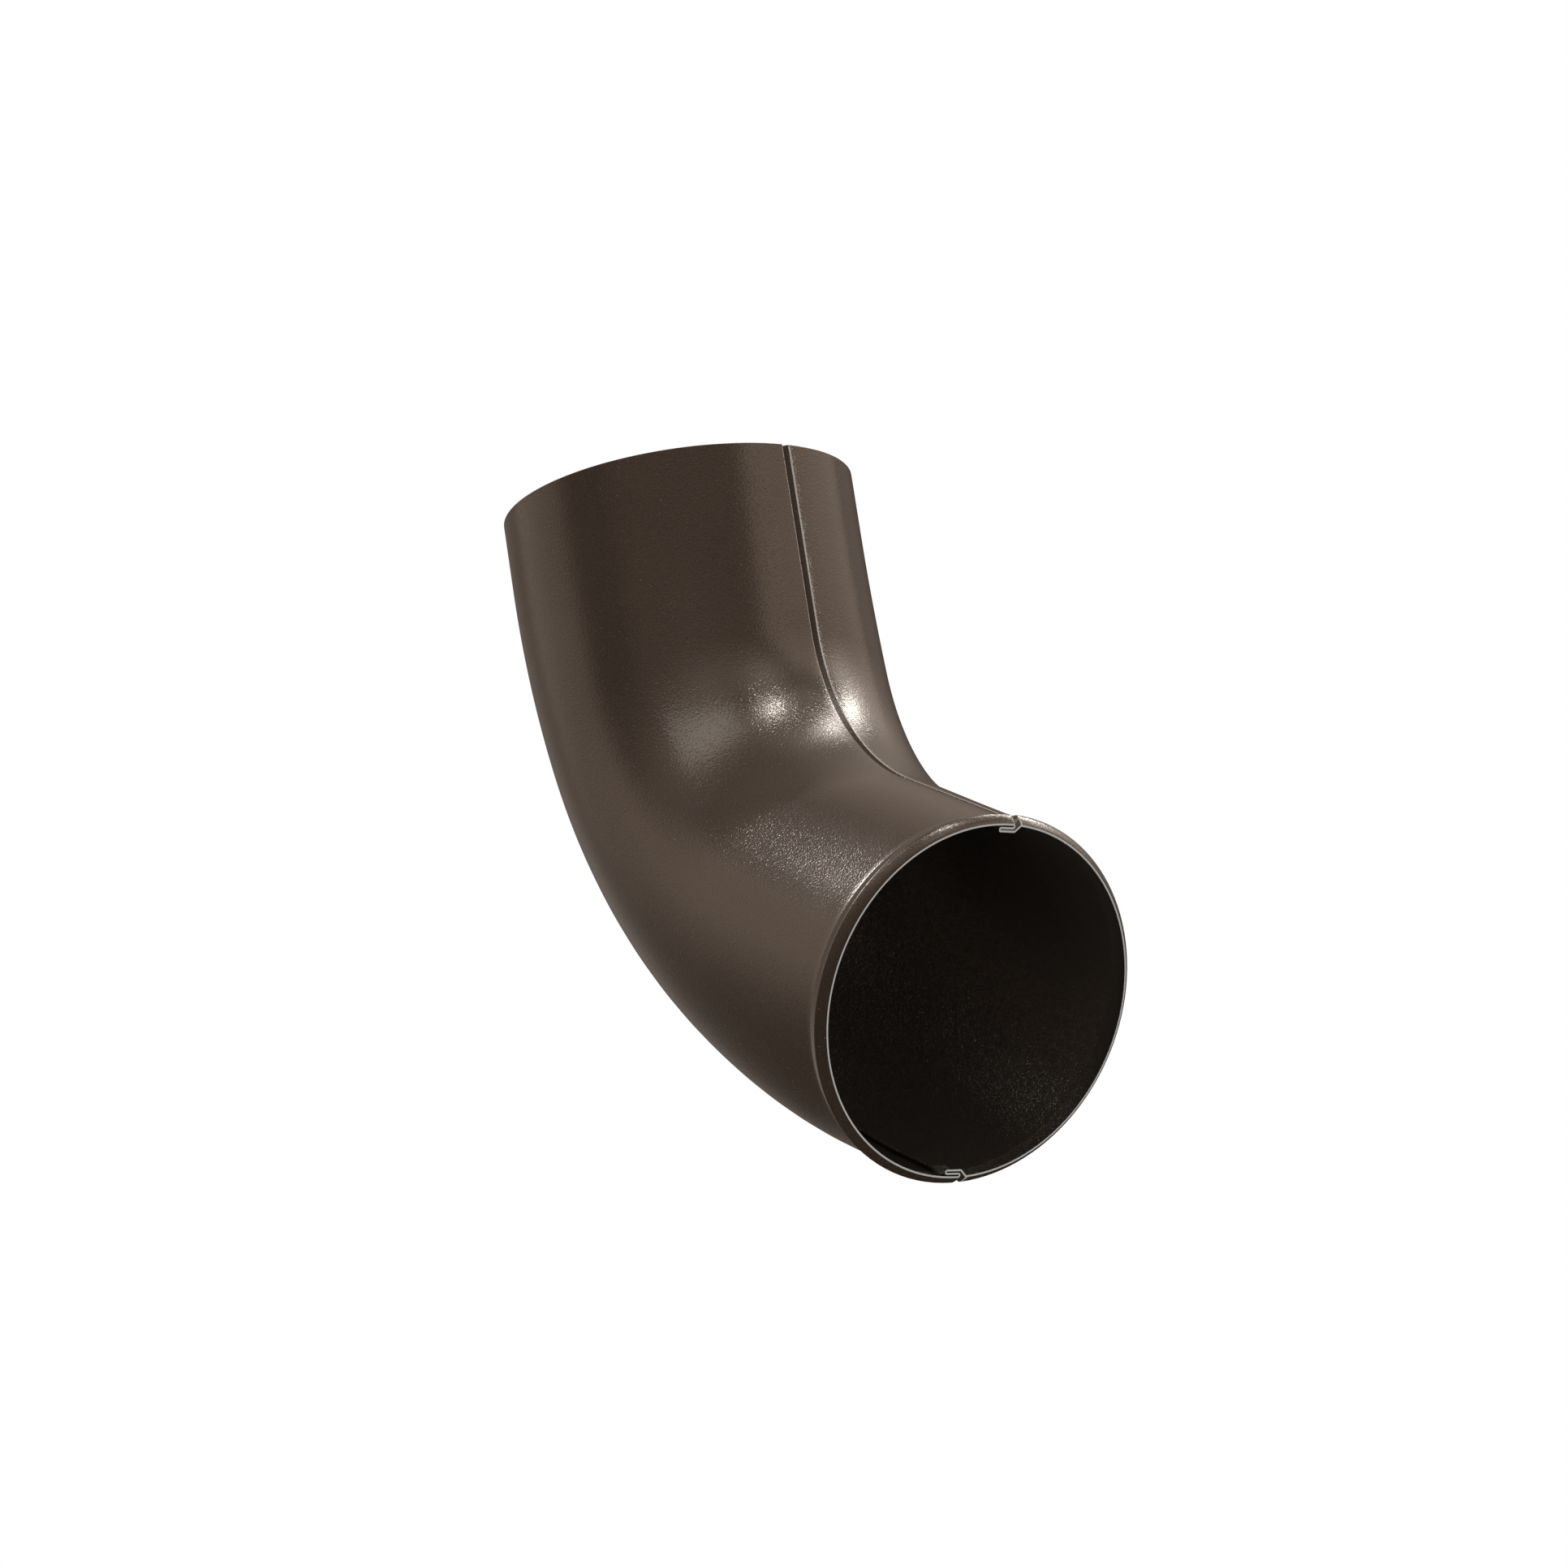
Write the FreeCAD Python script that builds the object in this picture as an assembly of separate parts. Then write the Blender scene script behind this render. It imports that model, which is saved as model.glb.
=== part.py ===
import FreeCAD, Part
import math
import os

# Round downpipe outlet elbow of thin pressed sheet, with a folded seam along the throat and
# another along the heel, and a raised bead behind the outlet's rim.
# Millimetres and degrees. The inlet mouth's centre is the origin and the inlet points up (+Z).
# The bend lies in the plane X = 0 and turns towards -Y: the throat is its -Y side, the heel +Y.

# tube
inlet_radius = 50.0          # outer face of the sheet at the inlet
outlet_step = 0.85           # the outlet leg's radius is this much smaller
sheet = 0.5                  # thickness of the sheet
bend_angle = 60.0            # between the centre lines of the two legs
leg_length = 117.0           # from the crossing of the centre lines to each mouth
collar_length = 15.0         # straight round collar below the inlet mouth
throat_bend_radius = 60.0    # outer face along the throat
heel_bend_radius = 217.0     # outer face along the heel

# bead behind the outlet's rim, along the leg from the rim
bead_foot_setback = 6.7      # where the bead starts to rise from the leg
bead_crest_setback = 2.75    # middle of the crest
bead_crest_width = 0.7
bead_height = 1.45           # crest above the leg
rim_drop = 0.6               # the rim's radius is this much less than the leg's

# folded seams
fold_width = 5.25            # over the outsides of the fold's two turns
fold_shift = 0.4             # from the middle plane to the middle of the fold, towards +X
layer_gap = 0.44             # open space between two layers of the fold
groove_width = 1.85          # between the fold's turn and the sheet on the +X side
joggle_run = 1.9             # width of the slope that carries the sheet in below the fold
joggle_inner_radius = 0.25   # inside of the two bends of that slope

# sections of the loft
throat_section_count = 7     # over the round part of the throat
leg_section_count = 3        # on either side of it
long_curve_points = 9

half_sheet = sheet / 2
outlet_radius = inlet_radius - outlet_step
bend = math.radians(bend_angle)
across = FreeCAD.Vector(1, 0, 0)
down = FreeCAD.Vector(0, 0, -1)
inlet_throat_side = FreeCAD.Vector(0, -1, 0)
outlet_direction = FreeCAD.Vector(0, -math.sin(bend), -math.cos(bend))
outlet_throat_side = FreeCAD.Vector(0, -math.cos(bend), math.sin(bend))
outlet_centre = down * leg_length + outlet_direction * leg_length


def rail(side, depth):
    """Line of the throat (side 1) or the heel (side -1), on the face this deep in the sheet."""
    start = inlet_throat_side * (side * (inlet_radius - depth))
    end = outlet_centre + outlet_throat_side * (side * (outlet_radius - depth))
    if side > 0:
        radius = throat_bend_radius + depth
    else:
        radius = heel_bend_radius - depth
    meeting = end - outlet_direction * ((end.y - start.y) / outlet_direction.y)
    tangent = radius * math.tan(bend / 2)
    bend_start = meeting - down * tangent
    bend_end = meeting + outlet_direction * tangent
    inward = (outlet_direction - down).normalize()
    bend_middle = meeting + inward * (radius / math.cos(bend / 2) - radius)
    return [
        Part.makeLine(bend_start - down * leg_length, bend_start),
        Part.Arc(bend_start, bend_middle, bend_end).toShape(),
        Part.makeLine(bend_end, bend_end + outlet_direction * leg_length),
    ]


def meet(edges, ray):
    """Point where a rail crosses the line of a section plane."""
    return Part.Wire(edges).distToShape(ray)[1][0][0]


def even_steps(start, end, count):
    return [start + (end - start) * step / count for step in range(1, count + 1)]


def round_section(centre, throat_side, radius, radial_sheet):
    """Section square to a leg; each face is its throat point, heel point and half width."""
    inner = radius - radial_sheet
    return {
        "outer": (centre + throat_side * radius, centre - throat_side * radius, radius),
        "inner": (centre + throat_side * inner, centre - throat_side * inner, inner),
        "round": True,
    }


def bent_sections():
    """Sections between collar and bead, fanned about the line where their end planes meet."""
    straight = leg_length - collar_length
    last = leg_length - bead_foot_setback
    hinge_y = -(last + straight * math.cos(bend)) / math.sin(bend)
    hinge = FreeCAD.Vector(0, hinge_y, -collar_length)
    outer = (rail(1, 0), rail(-1, 0))
    inner = (rail(1, sheet), rail(-1, sheet))
    throat_arc = outer[0][1]
    start, end = [
        math.atan2(hinge.z - vertex.Point.z, vertex.Point.y - hinge.y)
        for vertex in throat_arc.Vertexes
    ]
    angles = even_steps(0, start, leg_section_count)
    angles += even_steps(start, end, throat_section_count)
    angles += even_steps(end, bend, leg_section_count)
    sections = []
    for angle in angles[:-1]:
        direction = FreeCAD.Vector(0, math.cos(angle), -math.sin(angle))
        ray = Part.makeLine(hinge, hinge + direction * leg_length * 4)
        width = inlet_radius - outlet_step * (angle / bend) ** 2
        sections.append({
            "outer": (meet(outer[0], ray), meet(outer[1], ray), width),
            "inner": (meet(inner[0], ray), meet(inner[1], ray), width - sheet),
            "round": False,
        })
    return sections


def outlet_section(setback, radius, slope):
    """Section of the outlet leg this far behind the rim, where the sheet rises by this slope."""
    centre = outlet_centre - outlet_direction * setback
    return round_section(centre, outlet_throat_side, radius, sheet * math.hypot(1, slope))


def bead_sections():
    """Foot, both sides of the crest, and rim."""
    crest_back = bead_crest_setback + bead_crest_width / 2
    crest_front = bead_crest_setback - bead_crest_width / 2
    crest_radius = outlet_radius + bead_height
    rim_radius = outlet_radius - rim_drop
    back_slope = bead_height / (bead_foot_setback - crest_back)
    front_slope = (crest_radius - rim_radius) / crest_front
    return [
        outlet_section(bead_foot_setback, outlet_radius, back_slope / 2),
        outlet_section(crest_back, crest_radius, back_slope / 2),
        outlet_section(crest_front, crest_radius, front_slope / 2),
        outlet_section(0, rim_radius, front_slope),
    ]


def sections():
    """All sections of the elbow, from the inlet mouth to the outlet's rim."""
    mouth = round_section(FreeCAD.Vector(0, 0, 0), inlet_throat_side, inlet_radius, sheet)
    base = round_section(down * collar_length, inlet_throat_side, inlet_radius, sheet)
    return [mouth, base] + bent_sections() + bead_sections()


def oval_at(section, depth):
    """Middle, half height and half width of the section at a depth below its outer face."""
    share = depth / sheet
    outer = section["outer"]
    inner = section["inner"]
    throat = outer[0] + (inner[0] - outer[0]) * share
    heel = outer[1] + (inner[1] - outer[1]) * share
    return (throat + heel) * 0.5, (throat - heel) * 0.5, outer[2] + (inner[2] - outer[2]) * share


def place(section, point, side):
    """A fold's point (x, depth) on the throat (side 1) or the heel (side -1) of a section."""
    x, depth = point
    middle, half, width = oval_at(section, depth)
    return middle + half * (side * math.sqrt(1 - (x / width) ** 2)) + across * x


def turn(centre, radius, start, end):
    """Three points (x, depth) on a round bend; angles run from +X towards the bore."""
    return [
        (centre[0] + radius * math.cos(angle), centre[1] + radius * math.sin(angle))
        for angle in (start, (start + end) / 2, end)
    ]


def fold_runs(offset):
    """Bends and straights of the fold, from the sheet on the -X side to the one on the +X side.
    A positive offset gives the face that lies outside on the plain tube."""
    pitch = sheet + layer_gap
    radius = pitch / 2
    slope = math.atan2(2 * pitch, joggle_run)
    joggle_radius = joggle_inner_radius + half_sheet
    cut = joggle_radius * math.tan(slope / 2)
    fold_edge = fold_shift + fold_width / 2
    joggle_top = fold_edge + groove_width
    bottom_depth = half_sheet + 2 * pitch
    reach = radius + half_sheet
    outer_turn = (fold_edge - reach, half_sheet + radius)
    inner_turn = (fold_edge - fold_width + reach, bottom_depth - radius)
    foot = (joggle_top - joggle_run - cut, bottom_depth - joggle_radius)
    top = (joggle_top + cut, half_sheet + joggle_radius)
    quarter = math.pi / 2
    bends = [
        turn(outer_turn, radius + offset, -quarter, quarter),
        turn(inner_turn, radius - offset, -quarter, -3 * quarter),
        turn(foot, joggle_radius - offset, quarter, quarter - slope),
        turn(top, joggle_radius + offset, -quarter - slope, -quarter),
    ]
    runs = [bends[0]]
    for before, after in zip(bends, bends[1:]):
        runs.append([before[-1], after[0]])
        runs.append(after)
    return runs


def fold_edges(section, runs, side):
    edges = []
    for run in runs:
        points = [place(section, point, side) for point in run]
        if len(points) == 2:
            edges.append(Part.makeLine(*points))
        else:
            edges.append(Part.Arc(*points).toShape())
    return edges


def half_round(section, depth, x, hand):
    """Curve round the +X side (hand 1) or the -X side (hand -1), from throat to heel at x."""
    middle, half, width = oval_at(section, depth)
    start = math.asin(x / width)
    end = hand * math.pi - start
    points = [middle + half * math.cos(start) + across * (width * math.sin(start))]
    for angle in even_steps(start, end, long_curve_points - 1):
        points.append(middle + half * math.cos(angle) + across * (width * math.sin(angle)))
    if section["round"]:
        return Part.Arc(points[0], points[long_curve_points // 2], points[-1]).toShape()
    spline = Part.BSplineCurve()
    spline.interpolate(points)
    return spline.toShape()


def skin_wire(section, offset):
    """Closed line of one face of the sheet in a section."""
    runs = fold_runs(offset)
    depth = half_sheet - offset
    fold_x = runs[0][0][0]
    plain_x = runs[-1][-1][0]
    edges = fold_edges(section, runs, 1)
    edges.append(half_round(section, depth, plain_x, 1))
    edges += reversed(fold_edges(section, runs, -1))
    edges.append(half_round(section, depth, fold_x, -1))
    return Part.Wire(Part.__sortEdges__(edges))


def skin(offset):
    """One face of the sheet from mouth to rim, with the lines of its two ends."""
    wires = [skin_wire(section, offset) for section in sections()]
    return Part.makeLoft(wires, False, True).Faces, wires[0], wires[-1]


def shoe_elbow():
    outside, outer_mouth, outer_rim = skin(half_sheet)
    inside, inner_mouth, inner_rim = skin(-half_sheet)
    mouth = Part.makeFace([outer_mouth, inner_mouth], "Part::FaceMakerBullseye")
    rim = Part.makeFace([outer_rim, inner_rim], "Part::FaceMakerBullseye")
    shell = Part.makeShell(outside + inside + [mouth, rim])
    shell.sewShape()
    solid = Part.makeSolid(shell)
    if solid.Volume < 0:
        solid.reverse()
    return solid


os.makedirs("parts", exist_ok=True)
shoe_elbow().exportStep("parts/shoe_elbow.step")
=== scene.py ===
"""Downspout shoe: a round outlet elbow of brown coated steel sheet, with its two folded seams,
its rolled bead and its bare cut edges, in a plain light studio."""

import bpy
import numpy as np
from mathutils import Matrix


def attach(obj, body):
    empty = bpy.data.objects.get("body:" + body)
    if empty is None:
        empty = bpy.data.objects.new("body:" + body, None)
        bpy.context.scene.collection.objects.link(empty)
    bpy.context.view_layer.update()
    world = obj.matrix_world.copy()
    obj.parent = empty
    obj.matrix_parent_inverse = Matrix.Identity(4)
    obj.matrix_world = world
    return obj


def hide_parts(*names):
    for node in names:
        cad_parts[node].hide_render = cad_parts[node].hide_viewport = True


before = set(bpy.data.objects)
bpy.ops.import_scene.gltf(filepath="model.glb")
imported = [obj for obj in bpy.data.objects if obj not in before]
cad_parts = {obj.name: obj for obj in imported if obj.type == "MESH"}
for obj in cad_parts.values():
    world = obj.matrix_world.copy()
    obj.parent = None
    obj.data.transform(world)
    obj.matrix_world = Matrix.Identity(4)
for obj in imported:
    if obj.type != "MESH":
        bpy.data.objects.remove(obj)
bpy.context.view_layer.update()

# ---------------------------------------------------------------- sizes, in metres

INLET_RADIUS = 0.050
OUTLET_RADIUS = 0.04915
SHEET = 0.0005
BEND = np.radians(60.0)
LEG = 0.117
COLLAR = 0.015
THROAT_BEND_RADIUS = 0.060
HEEL_BEND_RADIUS = 0.217
BEAD_FOOT = 0.0067

FOLD_WIDTH = 0.00525
FOLD_SHIFT = 0.0004
LAYER_GAP = 0.00044
GROOVE_WIDTH = 0.00185
JOGGLE_RUN = 0.0019
JOGGLE_INNER_RADIUS = 0.00025

EDGE_ROUND = 0.00008

# slope of the outer face against the outlet leg, at distances back from the rim
BEAD_SETBACK = np.array((9.0, 8.2, 6.7, 6.45, 3.15, 2.75, 2.35, 1.2, 0.0)) * 1e-3
BEAD_SLOPE = np.array((0.0, 0.0, 0.10, 0.375, 0.375, 0.0, -0.50, -0.80, -1.20))
SLOPE_STEPS = 1801

# rows of points along the tube: distances below the inlet mouth, the count over the bend, and
# stretches of the bead as first and last distance back from the rim in millimetres and a count
COLLAR_ROWS = np.array((0.0, 0.0002, 0.005, 0.010))
BENT_ROWS = 112
BEAD_ROWS = ((9.0, 6.9, 5), (6.75, 6.35, 8), (6.0, 3.4, 5), (3.2, 2.3, 16), (2.1, 0.0, 11))
LEAST_ROW_GAP = 0.0002

# points round the tube: on each half turn of a fold, each bend of its joggle and each plain side
TURN_POINTS = 13
JOGGLE_POINTS = 6
SIDE_POINTS = 56

DOWN = np.array((0.0, 0.0, -1.0))
OUT = np.array((0.0, -np.sin(BEND), -np.cos(BEND)))
INLET_THROAT_SIDE = np.array((0.0, -1.0, 0.0))
OUTLET_THROAT_SIDE = np.array((0.0, -np.cos(BEND), np.sin(BEND)))
OUTLET_CENTRE = DOWN * LEG + OUT * LEG

# places of the finishes in the piece's list of materials
OUTSIDE, INSIDE, CUT_EDGE = range(3)


# ---------------------------------------------------------------- shape of the elbow


def rail(side, depth, hinge, rays):
    """Where rays from the hinge meet the throat's line (side 1) or the heel's (side -1) at a
    depth in the sheet: a straight, a round bend and a straight, and each ray takes the one of
    the three that it crosses."""
    start = INLET_THROAT_SIDE * side * (INLET_RADIUS - depth)
    end = OUTLET_CENTRE + OUTLET_THROAT_SIDE * side * (OUTLET_RADIUS - depth)
    radius = THROAT_BEND_RADIUS + depth if side > 0 else HEEL_BEND_RADIUS - depth
    meeting = end - OUT * ((end[1] - start[1]) / OUT[1])
    tangent = radius * np.tan(BEND / 2)
    bend_start = meeting - DOWN * tangent
    bend_end = meeting + OUT * tangent
    centre = bend_start + INLET_THROAT_SIDE * radius
    reach_inlet = (start[1] - hinge[1]) / rays[:, 1]
    reach_outlet = ((end - hinge) @ OUTLET_THROAT_SIDE) / (rays @ OUTLET_THROAT_SIDE)
    along = rays @ (centre - hinge)
    spread = along**2 - (hinge - centre) @ (hinge - centre) + radius**2
    reach_bend = along + np.sqrt(np.maximum(spread, 0))
    before = (hinge + rays * reach_inlet[:, None])[:, 2] >= bend_start[2]
    after = (hinge + rays * reach_outlet[:, None] - bend_end) @ OUT >= 0
    reach = np.where(before, reach_inlet, np.where(after, reach_outlet, reach_bend))
    return hinge + rays * reach[:, None]


def round_sections(centres, throat_side, radii):
    """Round sections as throat points, heel points and half widths: the centre plus and minus
    the radius towards the throat."""
    return [
        centres + throat_side * radii[:, None],
        centres - throat_side * radii[:, None],
        radii,
    ]


def collar_sections(setbacks):
    """Round sections of one radius below the inlet mouth, for the sheet's two faces."""
    centres = DOWN * setbacks[:, None]
    radii = np.full(len(setbacks), INLET_RADIUS)
    return (
        round_sections(centres, INLET_THROAT_SIDE, radii),
        round_sections(centres, INLET_THROAT_SIDE, radii - SHEET),
    )


def bent_sections(count):
    """Sections in planes that fan out from the line where the collar's base plane meets the
    bead's foot plane. Each is an oval between the throat's line and the heel's line, and its half
    width shrinks with the square of the turned angle. Those past the bead's first row are
    left out."""
    straight = LEG - COLLAR
    last = LEG - BEAD_FOOT
    hinge = np.array((0.0, -(last + straight * np.cos(BEND)) / np.sin(BEND), -COLLAR))
    angle = np.linspace(0, BEND, count)
    rays = np.column_stack((np.zeros(count), np.cos(angle), -np.sin(angle)))
    width = INLET_RADIUS - (INLET_RADIUS - OUTLET_RADIUS) * (angle / BEND) ** 2
    outer = [rail(1, 0, hinge, rays), rail(-1, 0, hinge, rays), width]
    inner = [rail(1, SHEET, hinge, rays), rail(-1, SHEET, hinge, rays), width - SHEET]
    clear = (OUTLET_CENTRE - outer[0]) @ OUT > BEAD_SETBACK[0] + LEAST_ROW_GAP
    return [part[clear] for part in outer], [part[clear] for part in inner]


def bead_sections():
    """Round sections of the bead. The outer face's slope is given at a few setbacks and taken
    straight between them; the radius is the slope summed up along the leg, and the inner face
    lies one sheet nearer to the leg's middle."""
    setbacks = np.concatenate([np.linspace(*span_and_painted_glint) for span_and_painted_glint in BEAD_ROWS]) * 1e-3
    fine = np.linspace(BEAD_SETBACK[0], 0, SLOPE_STEPS)
    slope = np.interp(-fine, -BEAD_SETBACK, BEAD_SLOPE)
    rise = np.concatenate(((0,), np.cumsum((slope[1:] + slope[:-1]) / 2 * (fine[0] - fine[1]))))
    radii = OUTLET_RADIUS + np.interp(-setbacks, -fine, rise)
    centres = OUTLET_CENTRE - OUT * setbacks[:, None]
    return (
        round_sections(centres, OUTLET_THROAT_SIDE, radii),
        round_sections(centres, OUTLET_THROAT_SIDE, radii - SHEET),
    )


def elbow_sections():
    """All sections from the inlet mouth to the outlet's rim, as throat points, heel points and
    half widths, first for the outer face and then for the inner face."""
    parts = collar_sections(COLLAR_ROWS), bent_sections(BENT_ROWS), bead_sections()
    return [
        [np.concatenate([part[face][kind] for part in parts]) for kind in range(3)]
        for face in range(2)
    ]


def turn(centre, radius, start, end, count):
    """Points of a round bend: centre plus radius times (cosine, sine)."""
    angle = np.linspace(start, end, count)
    return np.array(centre) + radius * np.column_stack((np.cos(angle), np.sin(angle)))


def fold_line(offset):
    """One face of the folded seam as (x, depth), from the sheet on the left to the sheet on the
    right: a half turn under itself, a half turn back, and a slope up beside the groove, all about
    the sheet's middle line. A positive offset gives the face that lies outside."""
    half = SHEET / 2
    pitch = SHEET + LAYER_GAP
    radius = pitch / 2
    slope = np.arctan2(2 * pitch, JOGGLE_RUN)
    joggle_radius = JOGGLE_INNER_RADIUS + half
    cut = joggle_radius * np.tan(slope / 2)
    edge = FOLD_SHIFT + FOLD_WIDTH / 2
    groove_end = edge + GROOVE_WIDTH
    bottom = half + 2 * pitch
    reach = radius + half
    quarter = np.pi / 2
    right_turn = (edge - reach, half + radius)
    left_turn = (edge - FOLD_WIDTH + reach, bottom - radius)
    foot = (groove_end - JOGGLE_RUN - cut, bottom - joggle_radius)
    top = (groove_end + cut, half + joggle_radius)
    return np.concatenate((
        turn(right_turn, radius + offset, -quarter, quarter, TURN_POINTS),
        turn(left_turn, radius - offset, -quarter, -3 * quarter, TURN_POINTS),
        turn(foot, joggle_radius - offset, quarter, quarter - slope, JOGGLE_POINTS),
        turn(top, joggle_radius + offset, -quarter - slope, -quarter, JOGGLE_POINTS),
    ))


def face_lines(outer, inner, offset):
    """Closed lines of one face of the sheet, one for each section: the throat's fold, round the
    right side, the heel's fold and round the left side. A point is the oval's middle plus half
    its height times a cosine plus its half width times a sine, and an oval at a depth in the
    sheet lies in proportion between the outer face's and the inner face's."""
    line = fold_line(offset)
    x, depth = line[:, 0], line[:, 1]

    def oval(depths):
        share = depths / SHEET
        throat = outer[0][:, None] + (inner[0] - outer[0])[:, None] * share[None, :, None]
        heel = outer[1][:, None] + (inner[1] - outer[1])[:, None] * share[None, :, None]
        width = outer[2][:, None] + (inner[2] - outer[2])[:, None] * share[None, :]
        return (throat + heel) / 2, (throat - heel) / 2, width

    def fold(side):
        middle, half, width = oval(depth)
        points = middle + half * (side * np.sqrt(1 - (x[None] / width) ** 2))[..., None]
        points[..., 0] += x[None]
        return points

    def half_round(start_x, hand):
        middle, half, width = oval(np.array((SHEET / 2 - offset,)))
        start = np.arcsin(start_x / width)
        share = np.linspace(0, 1, SIDE_POINTS + 2)[None, 1:-1]
        angle = start + (hand * np.pi - 2 * start) * share
        points = middle + half * np.cos(angle)[..., None]
        points[..., 0] += width * np.sin(angle)
        return points

    return np.concatenate((
        fold(1), half_round(x[-1], 1), fold(-1)[:, ::-1], half_round(x[0], -1)[:, ::-1],
    ), axis=1)


def elbow_mesh():
    """The sheet as one closed tube: lines of the outer face from mouth to rim, back along the
    inner face from rim to mouth, and between them the two cut edges with a small rounding.
    Gives the points, the four-sided faces, each face's finish (outside, inside, cut edge) and
    the weight of painted glint lines at each point: along both edges of the grooves, outside."""
    outer, inner = elbow_sections()
    skin = SHEET / 2
    outside = face_lines(outer, inner, skin)
    inside = face_lines(outer, inner, -skin)
    shy_outside = face_lines(outer, inner, skin - EDGE_ROUND)
    shy_inside = face_lines(outer, inner, EDGE_ROUND - skin)
    mouth, rim = DOWN * EDGE_ROUND, -OUT * EDGE_ROUND
    loops = np.concatenate((
        shy_outside[:1], outside[:1] + mouth, outside[1:-1], outside[-1:] + rim,
        shy_outside[-1:], shy_inside[-1:],
        inside[-1:] + rim, inside[-2:0:-1], inside[:1] + mouth, shy_inside[:1],
    ))
    rows, columns = loops.shape[:2]
    row = np.arange(rows)[:, None] * columns
    next_row = np.roll(row, -1, axis=0)
    column = np.arange(columns)[None]
    next_column = np.roll(column, -1, axis=1)
    quads = np.stack(
        (row + column, next_row + column, next_row + next_column, row + next_column), axis=-1
    ).reshape(-1, 4)

    # the rim's cut edge is three rows of faces, and so is the mouth's, where the loop closes
    rim_row = len(outside)
    finish = np.full(rows, OUTSIDE)
    finish[rim_row:] = INSIDE
    finish[rim_row:rim_row + 3] = CUT_EDGE
    finish[[rows - 2, rows - 1, 0]] = CUT_EDGE

    # painted glint lines: pale highlights painted over the fold's turn and up the groove's other
    # edge
    fold = np.zeros(len(fold_line(0)))
    fold[1:3] = 1
    fold[-4:] = 1
    plain = np.zeros(SIDE_POINTS)
    span_and_painted_glint = np.zeros((rows, columns))
    span_and_painted_glint[:rim_row + 1] = np.concatenate((fold, plain, fold[::-1], plain))
    return loops.reshape(-1, 3), quads, np.repeat(finish, columns), span_and_painted_glint.ravel()


def add_mesh(name, points, faces, materials, material_index=None):
    """A smooth shaded object at the origin, with its materials and each face's place in them."""
    mesh = bpy.data.meshes.new(name)
    mesh.from_pydata(points.tolist(), [], faces.tolist())
    for material in materials:
        mesh.materials.append(material)
    if material_index is not None:
        mesh.polygons.foreach_set("material_index", material_index)
    mesh.polygons.foreach_set("use_smooth", np.ones(len(faces), bool))
    mesh.update()
    piece = bpy.data.objects.new(name, mesh)
    bpy.context.scene.collection.objects.link(piece)
    return piece


# ---------------------------------------------------------------- shader maths


class Socket:
    """A node's output that adds Math nodes when it is used in an expression."""

    def __init__(self, tree, link):
        self.tree = tree
        self.link = link

    def math(self, operation, *values, clamp=False):
        settings = {"operation": operation, "use_clamp": clamp}
        return self.tree.add("ShaderNodeMath", settings, dict(enumerate(values)))

    def __add__(self, other):
        return self.math("ADD", self, other)

    def __sub__(self, other):
        return self.math("SUBTRACT", self, other)

    def __rsub__(self, other):
        return self.math("SUBTRACT", other, self)

    def __mul__(self, other):
        return self.math("MULTIPLY", self, other)

    def __truediv__(self, other):
        return self.math("DIVIDE", self, other)

    def __pow__(self, other):
        return self.math("POWER", self, other)

    def clamped(self):
        return self.math("ADD", self, 0.0, clamp=True)

    __radd__ = __add__
    __rmul__ = __mul__


class Tree:
    """A node tree that is emptied and then filled by one method."""

    def __init__(self, owner):
        owner.use_nodes = True
        self.nodes = owner.node_tree.nodes
        self.links = owner.node_tree.links
        self.nodes.clear()

    def add(self, kind, settings=None, inputs=None, output=0):
        """Add a node with its settings, then its inputs by name or number."""
        node = self.nodes.new(kind)
        for key, value in (settings or {}).items():
            setattr(node, key, value)
        for key, value in (inputs or {}).items():
            if isinstance(value, Socket):
                self.links.new(value.link, node.inputs[key])
            else:
                node.inputs[key].default_value = value
        return Socket(self, node.outputs[output]) if node.outputs else None

    def noise(self, place, scale, detail=0.0):
        inputs = {"Vector": place, "Scale": scale, "Detail": detail}
        return self.add("ShaderNodeTexNoise", {}, inputs)

    def mix_colour(self, factor, first, second):
        inputs = {0: factor, 6: first, 7: second}
        return self.add("ShaderNodeMix", {"data_type": "RGBA"}, inputs, 2)

    def bump(self, height, distance):
        return self.add("ShaderNodeBump", {}, {"Height": height, "Distance": distance})


# ---------------------------------------------------------------- finishes

# each colour is darkest and lightest, linear
COAT_COLOURS = (0.032, 0.0217, 0.0152, 1), (0.051, 0.0345, 0.0243, 1)
# inside colours: painted shade, darker than the coat, for the shade in the bore
INSIDE_PAINTED_SHADE_COLOURS = (0.025, 0.0200, 0.0162, 1), (0.032, 0.0258, 0.0210, 1)
STEEL_COLOURS = (0.45, 0.46, 0.455, 1), (0.59, 0.60, 0.595, 1)
# painted glint colour: pale specks and lines that stand in for highlights on the coat
PAINTED_GLINT_COLOUR = (0.46, 0.42, 0.38, 1)
COAT_SHEEN = (1.0, 0.93, 0.87, 1)
FILM_SHEEN = (1.0, 0.92, 0.84, 1)

# sizes of the patterns, as noise cells to a metre
CLOUD = 35.0
WAVES = 1400.0
RIPPLES = 3000.0
GRIT = 2500.0
SPARKLES = 2600.0
SPECKS = 3400.0
STEEL_GRAIN = 2500.0

# noise over this level stands out as a grain
GRAIN_LEVEL = 0.52

# heights of the bumps, in metres
COAT_BUMP = 0.00005
INSIDE_BUMP = 0.00012
STEEL_BUMP = 0.00003


def orange_peel(tree, place):
    """Height of a sprayed coat: soft waves with many small steeper grains on them."""
    grit = (tree.noise(place, GRIT) - GRAIN_LEVEL).clamped() * 1.3
    return tree.noise(place, WAVES) * 0.6 + tree.noise(place, RIPPLES) * 0.3 + grit


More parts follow.
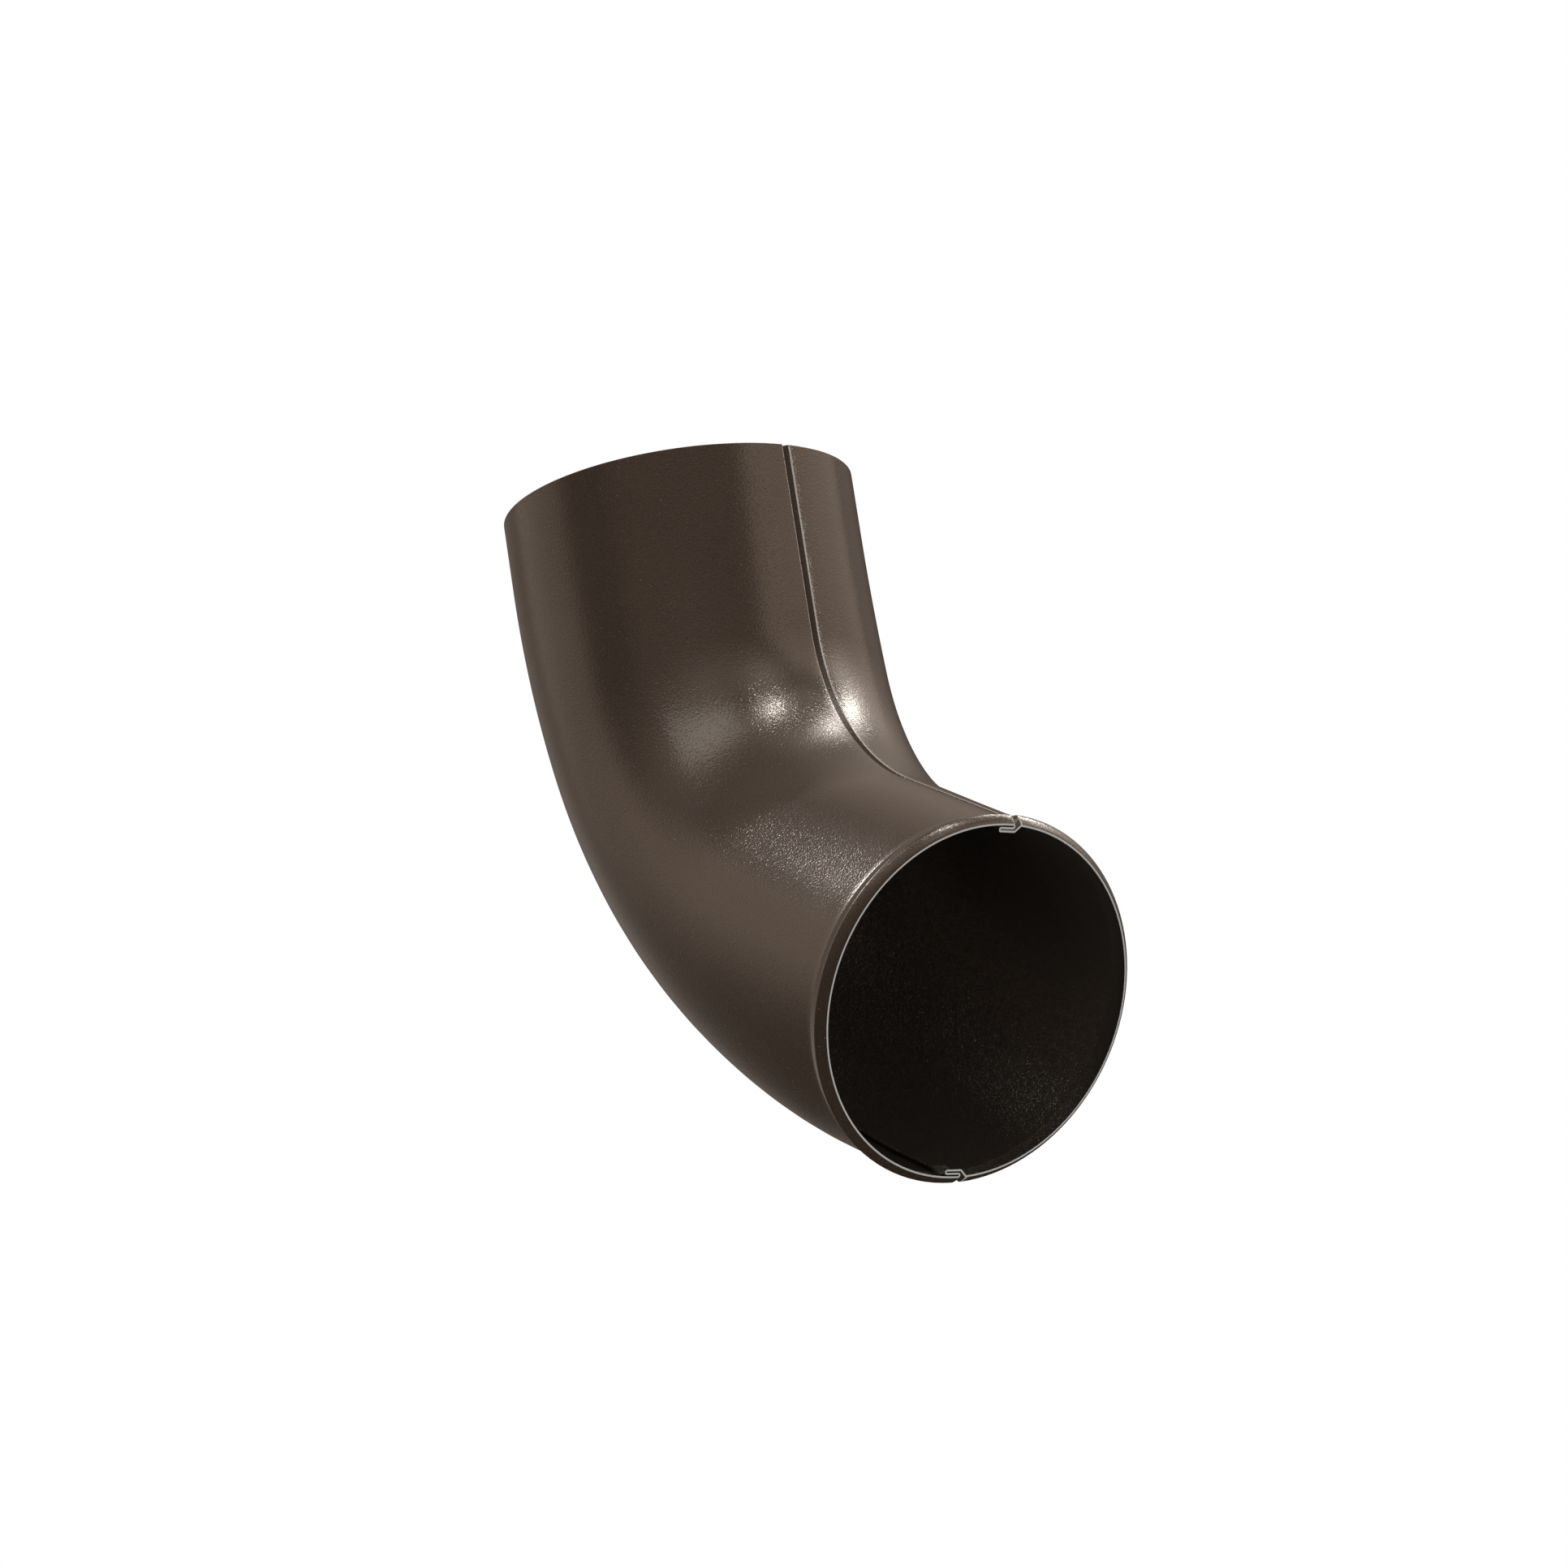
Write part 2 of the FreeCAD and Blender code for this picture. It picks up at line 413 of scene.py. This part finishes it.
def brown_coating():
    """Dark brown semi-gloss coating with a fine grain like orange peel, and painted glints in its
    colour: sparse pale specks all over, and pale highlight lines along the grooves' edges."""
    material = bpy.data.materials.new("brown_coating")
    tree = Tree(material)
    place = tree.add("ShaderNodeTexCoord", output="Object")
    # weight of the painted glint lines along the grooves' edges
    span_and_painted_glint = tree.add("ShaderNodeAttribute", {"attribute_name": "span_and_painted_glint"}, {}, "Fac")
    peel = orange_peel(tree, place)
    cloud = tree.noise(place, CLOUD, 2.0)
    speck = tree.noise(place, SPECKS)
    grain = ((speck - 0.5) * 2.4 + cloud).clamped()
    coat = tree.mix_colour(grain, *COAT_COLOURS)
    # painted glints: sparse pale specks all over, and pale highlight lines along the grooves
    painted_glints = ((speck - 0.84 + span_and_painted_glint * 0.30 + span_and_painted_glint ** 12.0 * 0.30) * 9.0).clamped()
    shader = tree.add("ShaderNodeBsdfPrincipled", {}, {
        "Base Color": tree.mix_colour(painted_glints, coat, PAINTED_GLINT_COLOUR),
        "Roughness": cloud * 0.04 + 0.10,
        "Normal": tree.bump(peel, COAT_BUMP),
        "IOR": 1.5,
        "Specular Tint": COAT_SHEEN,
    })
    tree.add("ShaderNodeOutputMaterial", {}, {"Surface": shader})
    return material


def dull_inside_painted_shade():
    """Inside face of the sheet, dull, with a near black colour that is painted shade for the dark
    bore, and a few faintly glossy grains."""
    material = bpy.data.materials.new("dull_inside_painted_shade")
    tree = Tree(material)
    place = tree.add("ShaderNodeTexCoord", output="Object")
    peel = orange_peel(tree, place)
    cloud = tree.noise(place, CLOUD, 2.0)
    bump = tree.bump(peel, INSIDE_BUMP)
    # near black base colour: painted shade of the bore
    painted_shade_inside = tree.add("ShaderNodeBsdfPrincipled", {}, {
        "Base Color": tree.mix_colour(cloud, *INSIDE_PAINTED_SHADE_COLOURS),
        "Roughness": cloud * 0.1 + 0.5,
        "Normal": bump,
        "Specular IOR Level": 0.0,
    })
    film = tree.add("ShaderNodeBsdfGlossy", {}, {
        "Color": FILM_SHEEN, "Roughness": cloud * 0.05 + 0.10, "Normal": bump,
    })
    sparkle = (tree.noise(place, SPARKLES) - GRAIN_LEVEL).clamped() * 0.055 + 0.0018
    shader = tree.add("ShaderNodeMixShader", {}, {0: sparkle, 1: painted_shade_inside, 2: film})
    tree.add("ShaderNodeOutputMaterial", {}, {"Surface": shader})
    return material


def bare_cut_edge():
    """Cut edge of the steel sheet under the coating, light grey and dull."""
    material = bpy.data.materials.new("bare_cut_edge")
    tree = Tree(material)
    place = tree.add("ShaderNodeTexCoord", output="Object")
    grain = tree.noise(place, STEEL_GRAIN, 2.0)
    shader = tree.add("ShaderNodeBsdfPrincipled", {}, {
        "Base Color": tree.mix_colour(grain, *STEEL_COLOURS),
        "Roughness": grain * 0.2 + 0.35,
        "Normal": tree.bump(grain, STEEL_BUMP),
    })
    tree.add("ShaderNodeOutputMaterial", {}, {"Surface": shader})
    return material


# ---------------------------------------------------------------- the piece

points, quads, finish, span_and_painted_glint = elbow_mesh()
finishes = [brown_coating(), dull_inside_painted_shade(), bare_cut_edge()]
elbow = add_mesh("elbow_sheet", points, quads, finishes, finish)
# weight of the painted glint lines along the grooves' edges, read by the coat's colour
elbow.data.attributes.new("span_and_painted_glint", "FLOAT", "POINT").data.foreach_set("value", span_and_painted_glint)
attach(elbow, "root")
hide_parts("shoe_elbow")
elbow.visible_glossy = False

# ---------------------------------------------------------------- lamps

LAMP_DISTANCE = 2.2
LAMP_TARGET = np.array((0.0, -0.04, -0.10))
LAMP_COLOUR = (1.0, 0.96, 0.91)

# azimuth and elevation in degrees, width and height in metres, watts, and lean in degrees
LAMPS = {
    "key_front": (13, 56, 0.32, 0.15, 4.0, -26),
    "key_right_high": (72, 56, 0.14, 0.14, 1.2, 0),
    "key_right": (79, 42, 0.26, 0.32, 4.0, 0),
    "soft_left": (-55, 51, 1.5, 0.60, 4.2, 24),
    "soft_back_left": (-164, 53, 0.62, 0.42, 10.5, -22),
}


def towards(azimuth, elevation):
    """Unit vector, azimuth 0 towards -Y and 90 towards +X."""
    turned, raised = np.radians((azimuth, elevation))
    return np.array((
        np.sin(turned) * np.cos(raised), -np.cos(turned) * np.cos(raised), np.sin(raised),
    ))


def soft_box(name, azimuth, elevation, width, height, watts, lean):
    """A rectangular lamp that faces the elbow's middle, turned in its own plane by the lean."""
    lamp = bpy.data.lights.new(name, "AREA")
    lamp.shape = "RECTANGLE"
    lamp.size = width
    lamp.size_y = height
    lamp.energy = watts
    lamp.color = LAMP_COLOUR
    back = towards(azimuth, elevation)
    level = towards(azimuth + 90, 0)
    leant = np.radians(lean)
    side = level * np.cos(leant) + np.cross(back, level) * np.sin(leant)
    axes = np.column_stack((side, np.cross(back, side), back))
    holder = bpy.data.objects.new(name, lamp)
    holder.matrix_world = (
        Matrix.Translation((LAMP_TARGET + back * LAMP_DISTANCE).tolist())
        @ Matrix(axes.tolist()).to_4x4()
    )
    bpy.context.scene.collection.objects.link(holder)


for lamp_name, lamp_values in LAMPS.items():
    soft_box(lamp_name, *lamp_values)

# ---------------------------------------------------------------- floor

FLOOR_HEIGHT = -0.62
FLOOR_REACH = 1.5
FLOOR_COLOURS = (0.76, 0.76, 0.76, 1), (0.80, 0.80, 0.80, 1)


def pale_floor():
    """Pale matt floor, which fades to the white background over its outer half."""
    material = bpy.data.materials.new("pale_floor")
    tree = Tree(material)
    place = tree.add("ShaderNodeTexCoord", output="Object")
    grain = tree.noise(place, 3.0, 3.0)
    colour = tree.mix_colour(grain, *FLOOR_COLOURS)
    paint = tree.add("ShaderNodeBsdfDiffuse", {}, {"Color": colour})
    white = tree.add("ShaderNodeEmission", {}, {"Color": (1, 1, 1, 1), "Strength": 1.0})
    distance = tree.add("ShaderNodeVectorMath", {"operation": "LENGTH"}, {0: place}, "Value")
    camera_ray = tree.add("ShaderNodeLightPath", output="Is Camera Ray")
    fade = ((distance / FLOOR_REACH - 0.5) * 2.2).clamped() * camera_ray
    shader = tree.add("ShaderNodeMixShader", {}, {0: fade, 1: paint, 2: white})
    tree.add("ShaderNodeOutputMaterial", {}, {"Surface": shader})
    return material


def floor_disc():
    """Points of the floor's edge, the reach times (cosine, sine) at the floor's height, and one
    face over them all."""
    around = np.radians(np.arange(0, 360, 3))
    height = np.full(len(around), FLOOR_HEIGHT)
    edge = np.column_stack((FLOOR_REACH * np.cos(around), FLOOR_REACH * np.sin(around), height))
    return edge, np.arange(len(around))[None]


floor = add_mesh("floor", *floor_disc(), [pale_floor()])
floor.visible_glossy = False

# ---------------------------------------------------------------- world

SKY_LEVEL = 0.60
LEFT_WALL_LEVEL = 0.60
ROOM_LEVEL = 0.62
WALL_TINT = (1.0, 0.80, 0.66, 1)
PATCH_TINT = (1.0, 0.93, 0.87, 1)

# the right wall's edges lean by this many degrees of azimuth to one of elevation, and its light
# falls from its first level by this much for each degree to the right
RIGHT_WALL_LEAN = 1.1
RIGHT_WALL_LEVEL = 1.38
RIGHT_WALL_FALL = 0.010

# patches of the mirrored room: azimuth, elevation, width, height and lean in degrees, strength
BRIGHT_PATCHES = (
    (11, 56, 6, 3.2, -24, 10.0),
    (71, 57, 4.0, 6.5, 26, 7.8),
    (79, 43, 5.5, 7, 0, 9.0),
    (63, 30, 6, 5, 0, 2.0),
    (-55, 52, 15, 6.5, 18, 1.6),
    (-165, 54, 8.5, 6.5, -22, 2.6),
    (7, 39, 8, 6, 0, 1.7),
    (38, 69, 12, 7, 0, 0.8),
    (45, 48, 6, 5, 0, 1.0),
    (-33, 36, 14, 7, 0, 0.6),
    (103, 44, 10, 16, 0, 0.3),
    (170, 7, 14, 5, 0, 0.12),
    (-144.5, 52, 4.2, 4.5, 0, 1.1),
)
DIM_PATCHES = (
    (134, 12, 18, 14, 0, 0.8),
    (163, 29, 15, 9, 0, 0.75),
    (-170, 18, 18, 5, 0, 0.3),
    (-112, 52, 16, 10, 0, 0.25),
    (180, 72, 9, 4.5, 0, 0.45),
)


def studio_world():
    """White to the camera. Reflections see a room by direction: dark below the horizon, half
    bright overhead, with dimmer places behind, two paler walls, low on the right and far on the
    left, and soft bright patches where the lamps light the room around them. Everything else
    gets plain even light."""
    world = bpy.data.worlds.new("studio")
    bpy.context.scene.world = world
    tree = Tree(world)
    direction = tree.add("ShaderNodeTexCoord", output="Generated")
    parts = tree.add("ShaderNodeSeparateXYZ", {}, {0: direction})
    x, y, z = [Socket(tree, part) for part in parts.link.node.outputs]
    azimuth = x.math("ARCTAN2", x, 0.0 - y) * np.degrees(1.0)
    elevation = z.math("ARCSINE", z) * np.degrees(1.0)

    def rise(value, start, end):
        return tree.add("ShaderNodeMapRange", {"interpolation_type": "SMOOTHSTEP"}, {
            "Value": value, "From Min": start, "From Max": end,
        })

    def span(value, start, end, soft_start, soft_end):
        return rise(value, start - soft_start, start) * (1.0 - rise(value, end, end + soft_end))

    def patch(turned, raised, wide, tall, lean, strength):
        """Soft round patch, wider along a line that leans from the horizon: the strength times a
        bell curve of the distance from its middle."""
        around = azimuth.math("WRAP", azimuth - turned, 180.0, -180.0)
        aside = around * np.cos(np.radians(raised))
        above = elevation - raised
        leant = np.radians(lean)
        along = (aside * np.cos(leant) + above * np.sin(leant)) / wide
        over = (above * np.cos(leant) - aside * np.sin(leant)) / tall
        fall = (along * along + over * over) * -0.5
        return fall.math("EXPONENT", fall) * strength

    dimming = 1.0
    for values in DIM_PATCHES:
        dimming = dimming * (1.0 - patch(*values))
    patches = 0.0
    for values in BRIGHT_PATCHES:
        patches = patches + patch(*values)

    gap = span(azimuth, -112, -87, 12, 15) * (1.0 - rise(elevation, 25, 35))
    sky = rise(elevation, -20, 40) * SKY_LEVEL * (1.0 - gap * 0.5) * dimming
    slanted = azimuth - elevation * RIGHT_WALL_LEAN
    right_wall = span(slanted, -4, 74, 10, 0.5) * span(elevation, 14, 31, 8, 9)
    right_wall = right_wall * (RIGHT_WALL_LEVEL - slanted * RIGHT_WALL_FALL)
    left_wall = span(azimuth, -160, -126, 15, 20) * span(elevation, 25, 40, 25, 10)
    walls = sky + right_wall + left_wall * LEFT_WALL_LEVEL

    path = tree.add("ShaderNodeLightPath")
    rays = path.link.node.outputs
    camera_ray, glossy, through = [
        Socket(tree, rays[name])
        for name in ("Is Camera Ray", "Is Glossy Ray", "Is Transmission Ray")
    ]
    mirrored = glossy + through
    room = (1.0 - camera_ray - mirrored).clamped() * ROOM_LEVEL
    level = camera_ray + mirrored * (walls + patches) + room
    warm = walls / (walls + patches)
    tint = tree.mix_colour(warm, PATCH_TINT, WALL_TINT)
    colour = tree.mix_colour(mirrored, (1, 1, 1, 1), tint)
    backdrop = tree.add("ShaderNodeBackground", {}, {"Color": colour, "Strength": level})
    tree.add("ShaderNodeOutputWorld", {}, {"Surface": backdrop})


studio_world()

# ---------------------------------------------------------------- camera

camera_data = bpy.data.cameras.new("camera")
camera_data.sensor_width = 36.0
camera_data.lens = 144.76
camera = bpy.data.objects.new("camera", camera_data)
camera.location = (-0.997194, -1.395064, -0.538525)
camera.rotation_euler = np.radians((104.928153, 8.504320, -33.886530)).tolist()
bpy.context.scene.collection.objects.link(camera)
bpy.context.scene.camera = camera

bpy.context.scene.view_settings.view_transform = "Standard"
